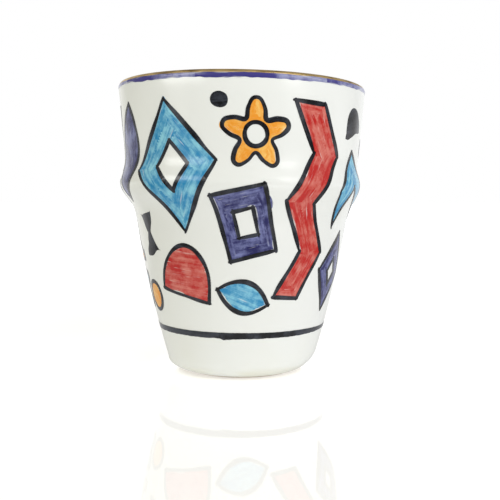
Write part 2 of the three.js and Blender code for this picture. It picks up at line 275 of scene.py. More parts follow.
class Graph:
    """A node tree that is written as expressions"""

    def __init__(self, tree):
        self.tree = tree

    def add(self, kind, settings=None, sockets=None):
        """Adds a node, sets its settings and then its sockets, and gives its outputs by name"""
        node = self.tree.nodes.new(kind)
        for name, value in (settings or {}).items():
            setattr(node, name, value)
        for key, value in (sockets or {}).items():
            if isinstance(value, Wire):
                self.tree.links.new(value.socket, node.inputs[key])
            else:
                node.inputs[key].default_value = value
        return {out.name: Wire(self, out) for out in node.outputs if out.enabled}

    def maths(self, operation, *values):
        sockets = dict(enumerate(values))
        return self.add("ShaderNodeMath", {"operation": operation}, sockets)["Value"]

    def vector(self, operation, *values):
        sockets = dict(enumerate(values))
        return self.add("ShaderNodeVectorMath", {"operation": operation}, sockets)["Vector"]

    def scaled(self, vector, factor):
        sockets = {"Vector": vector, "Scale": factor}
        return self.add("ShaderNodeVectorMath", {"operation": "SCALE"}, sockets)["Vector"]

    def length(self, vector):
        return self.add("ShaderNodeVectorMath", {"operation": "LENGTH"}, {0: vector})["Value"]

    def combine(self, x=0.0, y=0.0, z=0.0):
        return self.add("ShaderNodeCombineXYZ", {}, {"X": x, "Y": y, "Z": z})["Vector"]

    def split(self, vector):
        parts = self.add("ShaderNodeSeparateXYZ", {}, {"Vector": vector})
        return parts["X"], parts["Y"], parts["Z"]

    def noise(self, vector, scale, detail=2.0, roughness=0.5):
        sockets = {"Vector": vector, "Scale": scale, "Detail": detail, "Roughness": roughness}
        return self.add("ShaderNodeTexNoise", {}, sockets)["Fac"]

    def bump(self, **sockets):
        return self.add("ShaderNodeBump", {}, sockets)["Normal"]

    def hump(self, off, spread):
        """1 where something is nought, fading out on both sides"""
        share = off / spread
        return self.maths("EXPONENT", 0 - share * share)

    def blend(self, share, first, second):
        """A colour between two, each a socket or a colour"""
        rgba = [tint if isinstance(tint, Wire) else (*tint, 1.0) for tint in (first, second)]
        sockets = {"Factor": share, 6: rgba[0], 7: rgba[1]}
        return self.add("ShaderNodeMix", {"data_type": "RGBA"}, sockets)["Result"]

    def move(self, geometry, **sockets):
        """Geometry with its points set to a Position or moved by an Offset"""
        sockets["Geometry"] = geometry
        return self.add("GeometryNodeSetPosition", {}, sockets)["Geometry"]

    def merge(self, geometry, distance):
        sockets = {"Geometry": geometry, "Distance": distance}
        return self.add("GeometryNodeMergeByDistance", {}, sockets)["Geometry"]

    def inputs(self, **kinds):
        """Named inputs of a geometry tree, in order"""
        for name, kind in kinds.items():
            kind = f"NodeSocket{kind}"
            self.tree.interface.new_socket(plain(name), in_out="INPUT", socket_type=kind)
        outputs = self.tree.nodes.new("NodeGroupInput").outputs
        return [Wire(self, outputs[plain(name)]) for name in kinds]

    def finish(self, geometry, material):
        """Ends a geometry tree in a real mesh with its material"""
        kind = "NodeSocketGeometry"
        self.tree.interface.new_socket("Geometry", in_out="OUTPUT", socket_type=kind)
        real = self.add("GeometryNodeRealizeInstances", {}, {"Geometry": geometry})["Geometry"]
        sockets = {"Geometry": real, "Material": material}
        painted = self.add("GeometryNodeSetMaterial", {}, sockets)["Geometry"]
        self.add("NodeGroupOutput", {}, {"Geometry": painted})


def turned_form():
    """Tree that turns an outline of radius and height about the cup's axis"""
    tree = bpy.data.node_groups.new("Turned form", "GeometryNodeTree")
    g = Graph(tree)
    outline, segments, unevenness, lean, fullness, rib_height, rib_stray, material = g.inputs(
        outline="Geometry", segments="Int", unevenness="Float", lean="Float", fullness="Float",
        rib_height="Float", rib_stray="Float", material="Material")

    rows = g.add("GeometryNodeAttributeDomainSize", {}, {"Geometry": outline})["Point Count"]
    steps = {"Vertices X": segments + 1, "Vertices Y": rows}
    grid = g.add("GeometryNodeMeshGrid", {}, steps)["Mesh"]
    index = g.add("GeometryNodeInputIndex")["Index"]
    place = g.add("GeometryNodeInputPosition")["Position"]
    point = g.add("GeometryNodeSampleIndex", {"data_type": "FLOAT_VECTOR"},
                  {"Geometry": outline, "Value": place, "Index": index % rows})["Value"]
    radius, _, height = g.split(point)
    turn = g.maths("FLOOR", (index + 0.5) / rows) / segments * (2 * math.pi)
    across, towards = g.maths("SINE", turn), g.maths("COSINE", turn)

    stray = (g.noise(g.combine(across, towards, height * 28), 1.3) - 0.5) * 2
    stray = stray * unevenness * height.smooth(2 * MM, 20 * MM)
    reach = radius + stray * radius.smooth(0.0, 15 * MM)
    left = g.maths("MINIMUM", across, 0.0)
    corner = g.hump(height - 2.4 * MM, 2.0 * MM) * radius.smooth(14 * MM, 17 * MM)
    reach = reach + fullness * left * left * corner
    above_rib = height - rib_height
    under_rib = g.hump(above_rib + 6.5 * MM, 3 * MM)
    reach = reach - rib_stray * (across * g.hump(above_rib, 6 * MM) + left * left * under_rib)
    x = reach * across
    turned = g.move(grid, Position=g.combine(x, 0 - reach * towards, height * (1 - x * lean)))
    g.finish(g.merge(turned, 1e-6), material)
    return tree


def paint_on_wall():
    """Tree that lays a flat sheet of paint, drawn as on the unrolled wall, round the glazed cup"""
    tree = bpy.data.node_groups.new("Paint on wall", "GeometryNodeTree")
    g = Graph(tree)
    sheet, wall, middle, radius, rise, sink, material = g.inputs(
        sheet="Geometry", wall="Object", middle="Float", radius="Float", rise="Float", sink="Float",
        material="Material")

    sunk = g.move(sheet, Offset=g.combine(z=0 - sink))
    lid = g.add("GeometryNodeExtrudeMesh", {},
                {"Mesh": sunk, "Offset": g.combine(z=1.0), "Offset Scale": rise + sink,
                 "Individual": False})["Mesh"]
    under = g.add("GeometryNodeFlipFaces", {}, {"Mesh": sunk})["Mesh"]
    both = g.add("GeometryNodeJoinGeometry", {}, {"Geometry": lid})["Geometry"]
    tree.links.new(under.socket, both.socket.node.inputs["Geometry"])
    solid = g.merge(both, 1e-7)

    place = g.add("GeometryNodeInputPosition")["Position"]
    along, up, depth = g.split(place)
    turn = middle + along / radius
    outward = g.combine(g.maths("SINE", turn), 0 - g.maths("COSINE", turn))
    start = g.vector("ADD", g.scaled(outward, radius * 2), g.combine(z=up))
    target = g.add("GeometryNodeObjectInfo", {}, {"Object": wall})["Geometry"]
    normal = g.add("GeometryNodeInputNormal")["Normal"]
    hit = g.add("GeometryNodeRaycast", {"data_type": "FLOAT_VECTOR"},
                {"Target Geometry": target, "Attribute": normal, "Source Position": start,
                 "Ray Direction": g.scaled(outward, -1.0), "Ray Length": radius * 2})
    laid = g.vector("ADD", hit["Hit Position"], g.scaled(hit["Attribute"], depth))
    g.finish(g.move(solid, Position=laid), material)
    return tree


def run_tree(piece, make_tree, **values):
    """Gives a piece the plain mesh that a tree makes of it"""
    name = plain(make_tree.__name__)
    tree = bpy.data.node_groups.get(name) or make_tree()
    modifier = piece.modifiers.new(name, "NODES")
    modifier.node_group = tree
    inputs = (item for item in tree.interface.items_tree if item.in_out == "INPUT")
    identifiers = {item.name: item.identifier for item in inputs}
    for label, value in values.items():
        modifier[identifiers[plain(label)]] = value
    bpy.context.view_layer.update()
    evaluated = piece.evaluated_get(bpy.context.evaluated_depsgraph_get())
    mesh = bpy.data.meshes.new_from_object(evaluated)
    piece.modifiers.clear()
    drawn = piece.data
    piece.data = mesh
    bpy.data.meshes.remove(drawn)
    mesh.name = piece.name
    if not mesh.polygons:
        raise RuntimeError(f"{piece.name} has come out empty")


# Materials

def new_material(name):
    """A material with a bare shader, and the graph that feeds it"""
    material = bpy.data.materials.new(name)
    material.use_nodes = True
    return material, Graph(material.node_tree), material.node_tree.nodes["Principled BSDF"].inputs


def feed(graph, shader, **sockets):
    for name, wire in sockets.items():
        graph.tree.links.new(wire.socket, shader[name.replace("_", " ").title()])


def glaze_finish(colours):
    """White glaze: glossy, slightly uneven, darker and yellower towards the foot and in random
    patches
    """
    material, g, shader = new_material("white_glaze")
    place = g.add("ShaderNodeTexCoord")["Object"]
    x, y, height = g.split(place)
    mottle = g.noise(place, 45, 3.0)
    low_blotches = g.noise(g.combine(x, y, height * 5), 60).smooth(0.42, 0.62)
    # Darker and yellower towards the foot, more so in blotches within the lowest 5 mm, and in
    # random patches
    darker_share = (1 - height.smooth(2 * MM, 22 * MM)) * 0.25 + (mottle - 0.5) * 0.9
    darker_share = darker_share + (1 - height.smooth(1 * MM, 5 * MM)) * (0.2 + low_blotches * 0.5)
    tint = g.blend(darker_share.smooth(0.0, 1.0), colours.glaze, colours.glaze_pooled)
    cells = g.add("ShaderNodeTexVoronoi", {}, {"Vector": place, "Scale": 110.0})
    rare = g.split(cells["Color"])[0].smooth(0.86, 0.9)
    speck = (1 - cells["Distance"].smooth(0.02, 0.045)) * rare
    tint = g.blend(speck * 0.4, tint, colours.gold_thin)
    rings = g.noise(g.combine(x * 0.05, y * 0.05, height), 420, 1.0)
    ripple = g.noise(place, 130, 1.0) + rings * 0.35
    form = bpy.context.scene.cup_form
    lip_start = form.height - 6.3 * MM
    near_lip = g.maths("MAXIMUM", height / (1 - x * lean_slope(form)) - lip_start, 0.0)
    rounded = g.bump(Distance=1.0, Height=near_lip * near_lip * -15)
    normal = g.bump(Strength=0.12, Distance=0.2 * MM, Height=ripple, Normal=rounded)
    feed(g, shader, base_color=tint, roughness=0.13 + mottle * 0.1, normal=normal)
    return material


def clay_finish(colours):
    """Bare fired clay: matt and grainy"""
    material, g, shader = new_material("bare_clay")
    place = g.add("ShaderNodeTexCoord")["Object"]
    grain = g.noise(place, 1800, 4.0, 0.7)
    patches = g.noise(place, 120)
    darker = [c * 0.72 for c in colours.clay]
    tint = g.blend((grain * 0.6 + patches * 0.4).smooth(0.3, 0.75), darker, colours.clay)
    normal = g.bump(Strength=0.5, Distance=0.1 * MM, Height=grain)
    feed(g, shader, base_color=tint, roughness=0.7 + grain * 0.25, normal=normal)
    return material


def gold_finish(colours):
    """Gold lustre: a thin metal film, brownish where the brush left little and browner on the crown
    """
    form = bpy.context.scene.cup_form
    top, slope = form.height, lean_slope(form)
    material, g, shader = new_material("gold_lustre")
    place = g.add("ShaderNodeTexCoord")["Object"]
    x, y, z = g.split(place)
    brushed = g.noise(g.combine(x, y, z * 6), 160, 3.0, 0.6)
    patches = g.noise(place, 38)
    # Browner on the crown of the lip
    crown = (z / (1 - x * slope)).smooth(top - 0.9 * MM, top - 0.1 * MM)
    share = (brushed * 0.55 + patches * 0.45).smooth(0.36, 0.62) * (1 - crown * 0.5)
    shader["Metallic"].default_value = 1.0
    tint = g.blend(share, colours.gold_thin, colours.gold)
    feed(g, shader, base_color=tint, roughness=0.5 - share * 0.14)
    return material


def paint_finish(colours, name):
    """Brushed paint under the gloss: streaks along the stroke, pools and thin places"""
    deep, wash = getattr(colours, name), getattr(colours, f"{name}_wash")
    material, g, shader = new_material(f"brushed_{name}")
    brush = g.add("ShaderNodeUVMap", {"uv_map": "brush"})["UV"]
    streaks = g.noise(g.vector("MULTIPLY", brush, (0.09, 1.0, 1.0)), 1.0, 3.0, 0.6)
    pools = g.noise(brush, 0.2, 2.0, 0.6)
    grain = g.noise(brush, 1.6, 2.0, 0.6)
    load = g.add("ShaderNodeAttribute", {"attribute_name": "load"})["Fac"]
    thin = (streaks * 0.4 + pools * 0.55 + grain * 0.15 + (0.5 - load) * 0.5).smooth(0.45, 0.7)
    tint = g.blend(thin, deep, wash)
    if name != "black":
        edge = g.add("ShaderNodeAttribute", {"attribute_name": "edge"})["Fac"]
        dry = g.noise(g.vector("MULTIPLY", brush, (0.12, 1.6, 1.0)), 1.0, 2.0, 0.65)
        at_edge = (1 - edge.smooth(0.0, 0.45)) * dry.smooth(0.5, 0.62) * 0.5
        tint = g.blend(dry.smooth(0.62, 0.74) * 0.45 + at_edge, tint, colours.glaze)
    feed(g, shader, base_color=tint, roughness=0.13 + streaks * 0.1)
    return material


def finish(context, name):
    """A material by name, made the first time that it is asked for"""
    makers = {"white_glaze": glaze_finish, "bare_clay": clay_finish, "gold_lustre": gold_finish}
    made, colours = bpy.data.materials.get(name), context.scene.cup_colours
    if made:
        return made
    if name in makers:
        return makers[name](colours)
    return paint_finish(colours, name.removeprefix("brushed_"))


# Outlines of the cup, as arrays of radius and height

def smoothstep(share):
    share = np.clip(share, 0, 1)
    return share * share * (3 - 2 * share)


def unit(vectors):
    return vectors / np.linalg.norm(vectors, axis=1, keepdims=True)


def thinned(line, every):
    """Every so many points of a line, and its last"""
    return line[sorted({*range(0, len(line), every), len(line) - 1})]


def wall_radius(form, height, rib_rise):
    """Radius of the wall at a height: lower wall, shoulder, upper wall and rib in one line"""
    upper_base = form.rim_radius - form.upper_flare
    lower_top = upper_base - form.shoulder_step
    share = height / form.shoulder_height
    lower = form.base_radius + (lower_top - form.base_radius) * share
    lower = lower + form.lower_bow * 4 * share * (1 - share)
    above = height - form.shoulder_height
    upper = upper_base + form.upper_flare * above / (form.height - form.shoulder_height)
    step = smoothstep(above / form.shoulder_run + 0.5)
    above_rib = above - form.rib_above_shoulder
    return lower + (upper - lower) * step + rib_rise * np.exp(-((above_rib / form.rib_spread) ** 2))


def outside_radius(form, height):
    return wall_radius(form, height, form.rib_rise)


def inside_radius(form, height):
    return wall_radius(form, height, form.rib_rise_inside) - form.wall


def corner_arc(radius_at, form, ground, radius, start):
    """Round corner from level ground into a leaning wall, from the angle where it starts"""
    lean = math.atan((radius_at(form, ground + radius) - radius_at(form, ground)) / radius)
    centre = radius_at(form, ground + radius * (1 - math.sin(lean))) - radius * math.cos(lean)
    turn = np.linspace(start, lean, CORNER_POINTS)
    return np.column_stack([centre + radius * np.cos(turn), ground + radius * (1 - np.sin(turn))])


def lip_arc(form, start, end):
    radius = form.wall / 2
    height = form.height - radius
    turn = np.linspace(start, end, LIP_POINTS)
    centre = outside_radius(form, height) - radius
    return np.column_stack([centre + radius * np.cos(turn), height + radius * np.sin(turn)])


def wall_run(radius_at, form, low, step):
    high = form.height - form.wall / 2
    heights = np.linspace(low, high, round((high - low) / step) + 1)[1:-1]
    return np.column_stack([radius_at(form, heights), heights])


def outside_line(form):
    """The glazed outside, from the glaze line to the crown of the lip"""
    start = math.asin(1 - form.glaze_line / form.corner_radius)
    corner = corner_arc(outside_radius, form, 0, form.corner_radius, start)
    wall = wall_run(outside_radius, form, corner[-1, 1], 0.55 * MM)
    return np.vstack([corner, wall, lip_arc(form, 0, math.pi / 2)])


def inside_line(form):
    """The glazed inside, from the crown of the lip to the middle of the floor"""
    ground = form.floor_height
    corner = corner_arc(inside_radius, form, ground, form.floor_corner_radius, math.pi / 2)
    wall = wall_run(inside_radius, form, corner[-1, 1], 1.1 * MM)
    upwards = np.vstack([[[0, ground]], corner, wall])
    return np.vstack([lip_arc(form, math.pi / 2, math.pi), upwards[::-1]])


def shifted(line, distance):
    """A line moved along its normals, out of the clay"""
    return line - distance * unit(np.gradient(line, axis=0) @ QUARTER_TURN)


def coat(line, thickness, every=4):
    """Closed outline of a coat whose face is the line, with a coarser underside"""
    under = thinned(shifted(line, -thickness), every)
    return np.vstack([line, under[::-1], line[:1]])


# Pieces

def dress(piece, nodes, slot):
    """Makes a finished piece part of the cup, in the place of CAD nodes where it has any"""
    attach(piece, "root")
    if nodes:
        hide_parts(*nodes)


def new_piece(name, data):
    """An object in the scene, of a mesh, a light or a camera"""
    piece = bpy.data.objects.new(name, data)
    bpy.context.scene.collection.objects.link(piece)
    return piece


def lean_slope(form):
    return math.tan(form.rim_lean) / form.height


def turn_piece(context, name, outline, material, slot):
    """Turns a closed outline, or one that starts and ends on the axis, into a piece"""
    form = context.scene.cup_form
    mesh = bpy.data.meshes.new(name)
    sides = [(i, i + 1) for i in range(len(outline) - 1)]
    mesh.from_pydata([(r, 0, z) for r, z in outline], sides, [])
    piece = new_piece(f"{name}_thrown", mesh)
    run_tree(piece, turned_form, segments=form.segments, unevenness=form.unevenness,
             lean=lean_slope(form), fullness=form.foot_fullness,
             rib_height=form.shoulder_height + form.rib_above_shoulder, rib_stray=form.rib_stray,
             material=finish(context, material))
    outwards(piece.data)
    piece.data.set_sharp_from_angle(angle=THROWN_CREASE)
    dress(piece, [name], slot)


def outwards(mesh):
    """Turns the faces of a closed mesh outwards and shades it smooth"""
    work = bmesh.new()
    work.from_mesh(mesh)
    bmesh.ops.recalc_face_normals(work, faces=work.faces)
    if any(not edge.is_manifold for edge in work.edges):
        raise RuntimeError(f"{mesh.name} is not closed")
    work.to_mesh(mesh)
    work.free()
    mesh.shade_smooth()


# Brushwork, drawn flat in millimetres: across the unrolled wall, and up

def open_sides(triangles):
    """Sides that only one triangle has, from where each starts to where it ends"""
    sides = {(a, b) for t in triangles.tolist() for a, b in zip(t, t[1:] + t[:1])}
    return {a: b for a, b in sides if (b, a) not in sides}


def noise_at(places, spread, seed):
    return np.array([noise.noise(Vector((x / spread, y / spread, seed))) for x, y in places])


def run_along(line):
    """Distance along a line from its start to each point"""
    return np.concatenate([[0], np.cumsum(np.linalg.norm(np.diff(line, axis=0), axis=1))])


def patch_edges(node):
    """The edges of a CAD paint patch: loops of angle and height, outer edge first"""
    mesh = frame["nodes"][node].data
    places = np.array([vertex.co[:] for vertex in mesh.vertices])
    corners = places[[face.vertices[:] for face in mesh.polygons]]
    normals = np.cross(corners[:, 1] - corners[:, 0], corners[:, 2] - corners[:, 0])
    outward = corners.mean(axis=1) * (1, 1, 0)
    facing = (normals * outward).sum(axis=1)
    facing /= np.linalg.norm(normals, axis=1) * np.linalg.norm(outward, axis=1) + 1e-15
    snap = 2e-3
    grid = np.round(corners[facing > 0.5].reshape(-1, 3) / (snap * MM)).astype(int)
    points, index = np.unique(grid, axis=0, return_inverse=True)
    points = points * snap * MM
    after = open_sides(index.reshape(-1, 3))
    loops = []
    while after:
        first, here = after.popitem()
        loop = [first]
        while here != first:
            loop.append(here)
            here = after.pop(here)
        x, y, height = points[loop].T
        loops.append(np.column_stack([np.arctan2(x, -y), height]))
    loops.sort(key=lambda loop: -np.ptp(loop[:, 1]))
    return loops


def cross(first, second):
    return first[..., 0] * second[..., 1] - first[..., 1] * second[..., 0]


def without_needless(points, least):
    """A loop without the points that lie on the line between their neighbours"""
    points = list(points)
    while len(points) > 3:
        before, after = np.roll(points, 1, axis=0), np.roll(points, -1, axis=0)
        chord = after - before
        away = np.abs(cross(chord, np.asarray(points) - before)) / np.linalg.norm(chord, axis=1)
        flattest = int(away.argmin())
        if away[flattest] > least:
            break
        del points[flattest]
    return np.array(points)


def smooth_line(points, closed, step=0.4):
    """A smooth line through points, in short steps"""
    if closed:
        padded = np.vstack([points[-1:], points, points[:2]])
    else:
        padded = np.vstack([2 * points[0] - points[1], points, 2 * points[-1] - points[-2]])
    runs = []
    for p0, p1, p2, p3 in zip(padded, padded[1:], padded[2:], padded[3:]):
        steps = max(2, math.ceil(np.linalg.norm(p2 - p1) / step))
        t = np.linspace(0, 1, steps, endpoint=False)[:, None]
        bend = 2 * p0 - 5 * p1 + 4 * p2 - p3 + t * (3 * (p1 - p2) + p3 - p0)
        runs.append(p1 + t / 2 * (p2 - p0 + t * bend))
    if not closed:
        runs.append(points[-1:])
    return np.vstack(runs)


def corner_spans(loop, all_round):
    """The smooth lines that a motif's edge is drawn with, split where it turns sharply"""
    before, after = loop - np.roll(loop, 1, axis=0), np.roll(loop, -1, axis=0) - loop
    turn = np.arctan2(cross(before, after), (before * after).sum(axis=1))
    corners = [] if all_round else list(np.flatnonzero(np.abs(turn) > CORNER_TURN))
    if not corners:
        ring = smooth_line(loop, True)
        return [np.vstack([ring, ring[:1]])]
    loop = np.roll(loop, -corners[0], axis=0)
    stops = [corner - corners[0] for corner in corners] + [len(loop)]
    loop = np.vstack([loop, loop[:1]])
    return [smooth_line(loop[a:b + 1], False) for a, b in zip(stops, stops[1:])]


def by_hand(line, amount, seed):
    """A line as a hand draws it, a little off"""
    return line + amount * np.column_stack([noise_at(line, 8, seed), noise_at(line, 8, seed + 50)])


def strokes(line, width, overshoot, seed):
    """Flat shapes of the brush strokes along a line: two where it closes on itself"""
    if not np.allclose(line[0], line[-1]):
        return stroke(line, width, overshoot, seed)
    half = len(line) // 2
    lap = np.vstack([line[half:], line[1:4]])
    first = stroke(line[:half + 3], width, overshoot, seed)
    return first + stroke(lap, width, overshoot, seed + 0.5)


def stroke(line, width, overshoot, seed):
    """Flat shapes of one brush stroke: quads with round ends"""
    start, end = noise_at([(seed, 1.5), (seed, 4.5)], 1, 0)
    reach = [[0.4 + 0.5 * start], [0.7 + 1.0 * end]]
    ends = line[[0, -1]] + overshoot * unit(line[[0, -1]] - line[[2, -3]]) * reach
    line = np.vstack([ends[:1], line, ends[1:]])
    side = unit(np.gradient(line, axis=0)) @ QUARTER_TURN
    run = run_along(line)
    swell = np.array([noise.noise(Vector((s / 6, seed, 0.5))) for s in run])
    taper = 0.3 * np.exp(-run / 0.5) + 0.45 * np.exp((run - run[-1]) / 0.9)
    half = width / 2 * (1 + 0.45 * swell - taper)
    left, right = line + side * half[:, None], line - side * half[:, None]
    shapes = list(np.stack([left[:-1], right[:-1], right[1:], left[1:]], axis=1))
    turn = np.linspace(0, 2 * math.pi, 13)[:-1]
    ring = np.column_stack([np.cos(turn), np.sin(turn)])
    return shapes + [line[0] + half[0] * ring, line[-1] + half[-1] * ring]


def inside(shape, places):
    """Whether each place lies inside a closed shape, by how often the shape runs round it"""
    near = np.all((places > shape.min(axis=0)) & (places < shape.max(axis=0)), axis=1)
    here = shape - places[near, None]
    ahead = np.roll(here, -1, axis=1)
    turn = np.arctan2(cross(here, ahead), (here * ahead).sum(axis=2))
    within = np.zeros(len(places), dtype=bool)
    within[near] = np.abs(turn.sum(axis=1)) > math.pi
    return within


def flat_union(shapes, holes, spacing):
    """The union of flat shapes without the holes, as points and triangles"""
    points, faces = [], []
    for shape in [*shapes, *holes]:
        faces.append(list(range(len(points), len(points) + len(shape))))
        points.extend(shape)
    low, high = np.min(points, axis=0), np.max(points, axis=0)
    row_rise = spacing * 0.866
    for row, up in enumerate(np.arange(low[1], high[1], row_rise)):
        first = low[0] + spacing / 2 * (row % 2)
        points.extend((across, up) for across in np.arange(first, high[0], spacing))
    made = delaunay_2d_cdt([Vector(point) for point in points], [], faces, 0, 1e-5, False)
    points, triangles = np.array([point[:] for point in made[0]]), np.array(made[2])
    middles = points[triangles].mean(axis=1)
    painted = np.any([inside(shape, middles) for shape in shapes], axis=0)
    for hole in holes:
        painted &= ~inside(hole, middles)
    used, index = np.unique(triangles[painted], return_inverse=True)
    return points[used], index.reshape(-1, 3)


def edge_distance(points, triangles):
    """How far each point of a flat sheet is from the sheet's edge"""
    rim = points[sorted(open_sides(triangles))]
    return np.array([np.linalg.norm(rim - point, axis=1).min() for point in points])


def sheet_mesh(name, points, triangles, brush, edge, load=None):
    """Flat mesh of a sheet of paint, with the brush's run as its map, and each point's distance
    from the edge and load of paint, which is 0 for a dry brush and 1 for a full one"""
    mesh = bpy.data.meshes.new(name)
    mesh.from_pydata([(x * MM, y * MM, 0) for x, y in points], [], triangles.tolist())
    layer = mesh.uv_layers.new(name="brush")
    layer.data.foreach_set("uv", np.asarray(brush, dtype=np.float32).ravel())
    load = np.full(len(points), 0.5) if load is None else load
    for label, values in (("edge", edge), ("load", load)):
        attribute = mesh.attributes.new(label, "FLOAT", "POINT")
        attribute.data.foreach_set("value", np.asarray(values, dtype=np.float32))
    return mesh


def lay_paint(context, mesh, middle, radius, rise, paint, nodes):
    """Wraps a flat sheet of paint round the cup as a piece"""
    wall = bpy.data.objects.get("outer_glaze_thrown")
    if wall is None:
        raise RuntimeError("the glaze comes before the paint")
    piece = new_piece(mesh.name, mesh)
    run_tree(piece, paint_on_wall, wall=wall, middle=middle, radius=radius, rise=rise,
             sink=context.scene.cup_paint.sink, material=finish(context, f"brushed_{paint}"))
    piece.data.shade_smooth()
    piece.data.set_sharp_from_angle(angle=PAINT_CREASE)
    dress(piece, nodes, f"{paint.split('_')[0]}_paint")


class Motif:
    """A painted shape as the CAD patch gives it, unrolled in millimetres about its own middle"""

    def __init__(self, context, node, seed):
        form, paint = context.scene.cup_form, context.scene.cup_paint
        self.node = node
        self.name = node.removeprefix("painted_")
        self.kind, self.colour = self.name.split("_")
        self.seed = seed
        loops = patch_edges(node)
        outer = loops[0]
        facing = np.arctan2(np.sin(outer[:, 0]).mean(), np.cos(outer[:, 0]).mean())
        self.middle = float(facing)
        self.radius = float(outside_radius(form, (outer[:, 1].min() + outer[:, 1].max()) / 2))
        self.spans = []
        for i, loop in enumerate(loops):
            turn = (loop[:, 0] - facing + math.pi) % (2 * math.pi) - math.pi
            flat = np.column_stack([turn * self.radius, loop[:, 1]]) / MM
            all_round = self.kind in ("dot", "flower")
            spans = corner_spans(without_needless(flat, 0.12), all_round)
            self.spans.append([by_hand(line, paint.hand / MM, seed + i * 0.37) for line in spans])

    def edge(self, i, shy):
        """One edge as a closed loop, drawn in by a varying distance"""
        loop = np.vstack([line[:-1] for line in self.spans[i]])
        run = np.roll(loop, -1, axis=0) - np.roll(loop, 1, axis=0)
        inward = unit(run + 1e-9) @ QUARTER_TURN
        stray = noise_at(loop, 5, self.seed + 7.7)
        slip = np.clip(noise_at(loop, 9, self.seed + 3.3) - 0.28, 0, None)
        return loop + inward * (shy * (1 + 2.4 * stray) - 4 * slip)[:, None]

    def brush_run(self, points, triangles):
        """Distances along and across the brush's run, at each corner of each triangle"""
        if self.kind in ("leaf", "dot", "halfmoon", "hourglass"):
            away = points - points.mean(axis=0)
            _, axes = np.linalg.eigh(np.cov(away.T))
            tilt = 0.3 * math.sin(self.seed)
            turn = np.array(Matrix.Rotation(tilt, 2))
            return (away @ axes[:, ::-1] @ turn)[triangles.ravel()] + self.seed * BRUSH_SHIFT
        sides = [line for spans in self.spans for line in spans]
        middles = points[triangles].mean(axis=1)
        nearest, runs = [], []
        for i, line in enumerate(sides):
            closest = np.linalg.norm(points[:, None] - line, axis=2).argmin(axis=1)
            tangent = unit(np.gradient(line, axis=0))[closest]
            away = points - line[closest]
            along = run_along(line)[closest] + (away * tangent).sum(axis=1)
            shift = (self.seed + 5.3 * i) * BRUSH_SHIFT
            runs.append(np.column_stack([along, cross(tangent, away)]) + shift)
            nearest.append(np.linalg.norm(middles[:, None] - line, axis=2).min(axis=1))
        chosen = np.argmin(nearest, axis=0)
        return np.array(runs)[chosen[:, None], triangles].reshape(-1, 2)


def motifs(context):
    nodes = sorted(node for node in frame["nodes"] if node.startswith("painted_"))
    return [Motif(context, node, 1.0 + 3.1 * i) for i, node in enumerate(nodes)]


def ring_load(run, refills, lasts):
    """How full the brush is along a ring, in degrees: it is refilled now and then and runs dry"""
    load = np.zeros(len(run))
    for start, fill in refills:
        left = fill + (NEARLY_DRY - fill) * smoothstep((run - start) / lasts)
        load = np.where(run < start, load, left)
    return load


def ring_sheet(name, form, low, high, rows, radius, joint, load):
    """Sheet of a line drawn once round the cup from its joint, between two wandering edges"""
    columns = len(low)
    turn = np.linspace(0, 2 * math.pi, columns + 1)[:-1] + math.radians(joint)
    share = np.linspace(0, 1, rows + 1)
    drop = 1 - np.sin(turn) * radius * lean_slope(form)
    heights = (low[:, None] + (high - low)[:, None] * share) * drop[:, None]
    points = np.column_stack([np.repeat(turn * radius / MM, rows + 1), heights.ravel()])
    width = (high - low).repeat(rows + 1)
    edge = width * np.minimum(np.tile(share, columns), 1 - np.tile(share, columns))
    edge *= np.clip((columns - np.arange(columns)) / columns * 25, 0, 1).repeat(rows + 1)
    here = np.arange(len(points)).reshape(columns, rows + 1)
    ahead = np.roll(here, -1, axis=0)
    a, b, c, d = here[:, :-1], ahead[:, :-1], ahead[:, 1:], here[:, 1:]
    corners = np.stack([a, b, c, a, c, d], axis=2)
    column = np.arange(columns)[:, None, None] + np.tile([0, 1, 1, 0, 1, 0], (rows, 1))
    along = 2 * math.pi * column / columns * radius / MM
    brush = np.stack([along, points[corners, 1] / 2], axis=3)
    return sheet_mesh(name, points, corners.reshape(-1, 3), brush, edge, load.repeat(rows + 1))


def waver(*parts):
    """How far an edge strays round the cup: noises, each of a size, a number of lobes and a seed"""
    turn = np.linspace(0, 2 * math.pi, RING_COLUMNS + 1)[:-1]
    circle = np.column_stack([np.cos(turn), np.sin(turn)]) / (2 * math.pi)
    return sum(size * noise_at(circle * lobes, 1, seed) for size, lobes, seed in parts)


# Operators

class CUP_OT_throw_clay(Operator):
    """Throw the clay body with its rib, shoulder and foot ring"""

    bl_idname = "coffee_cup.throw_clay"
    bl_label = "Throw clay body"

    def execute(self, context):
        form = context.scene.cup_form
        hollow = form.foot_radius - form.foot_ring_width
        soft = 0.35 * MM
        under = [[0, form.foot_recess], [hollow - soft, form.foot_recess],
                 [hollow, form.foot_recess - soft], [hollow, soft], [hollow + soft, 0],
                 [form.foot_radius - soft, 0], [form.foot_radius, 0.1 * MM]]
        skin = shifted(np.vstack([outside_line(form), inside_line(form)[1:]]), -form.glaze)
        skin[-1, 0] = 0
        turn_piece(context, "clay_body", np.vstack([under, thinned(skin, 2)]), "bare_clay", "clay")
        return {"FINISHED"}


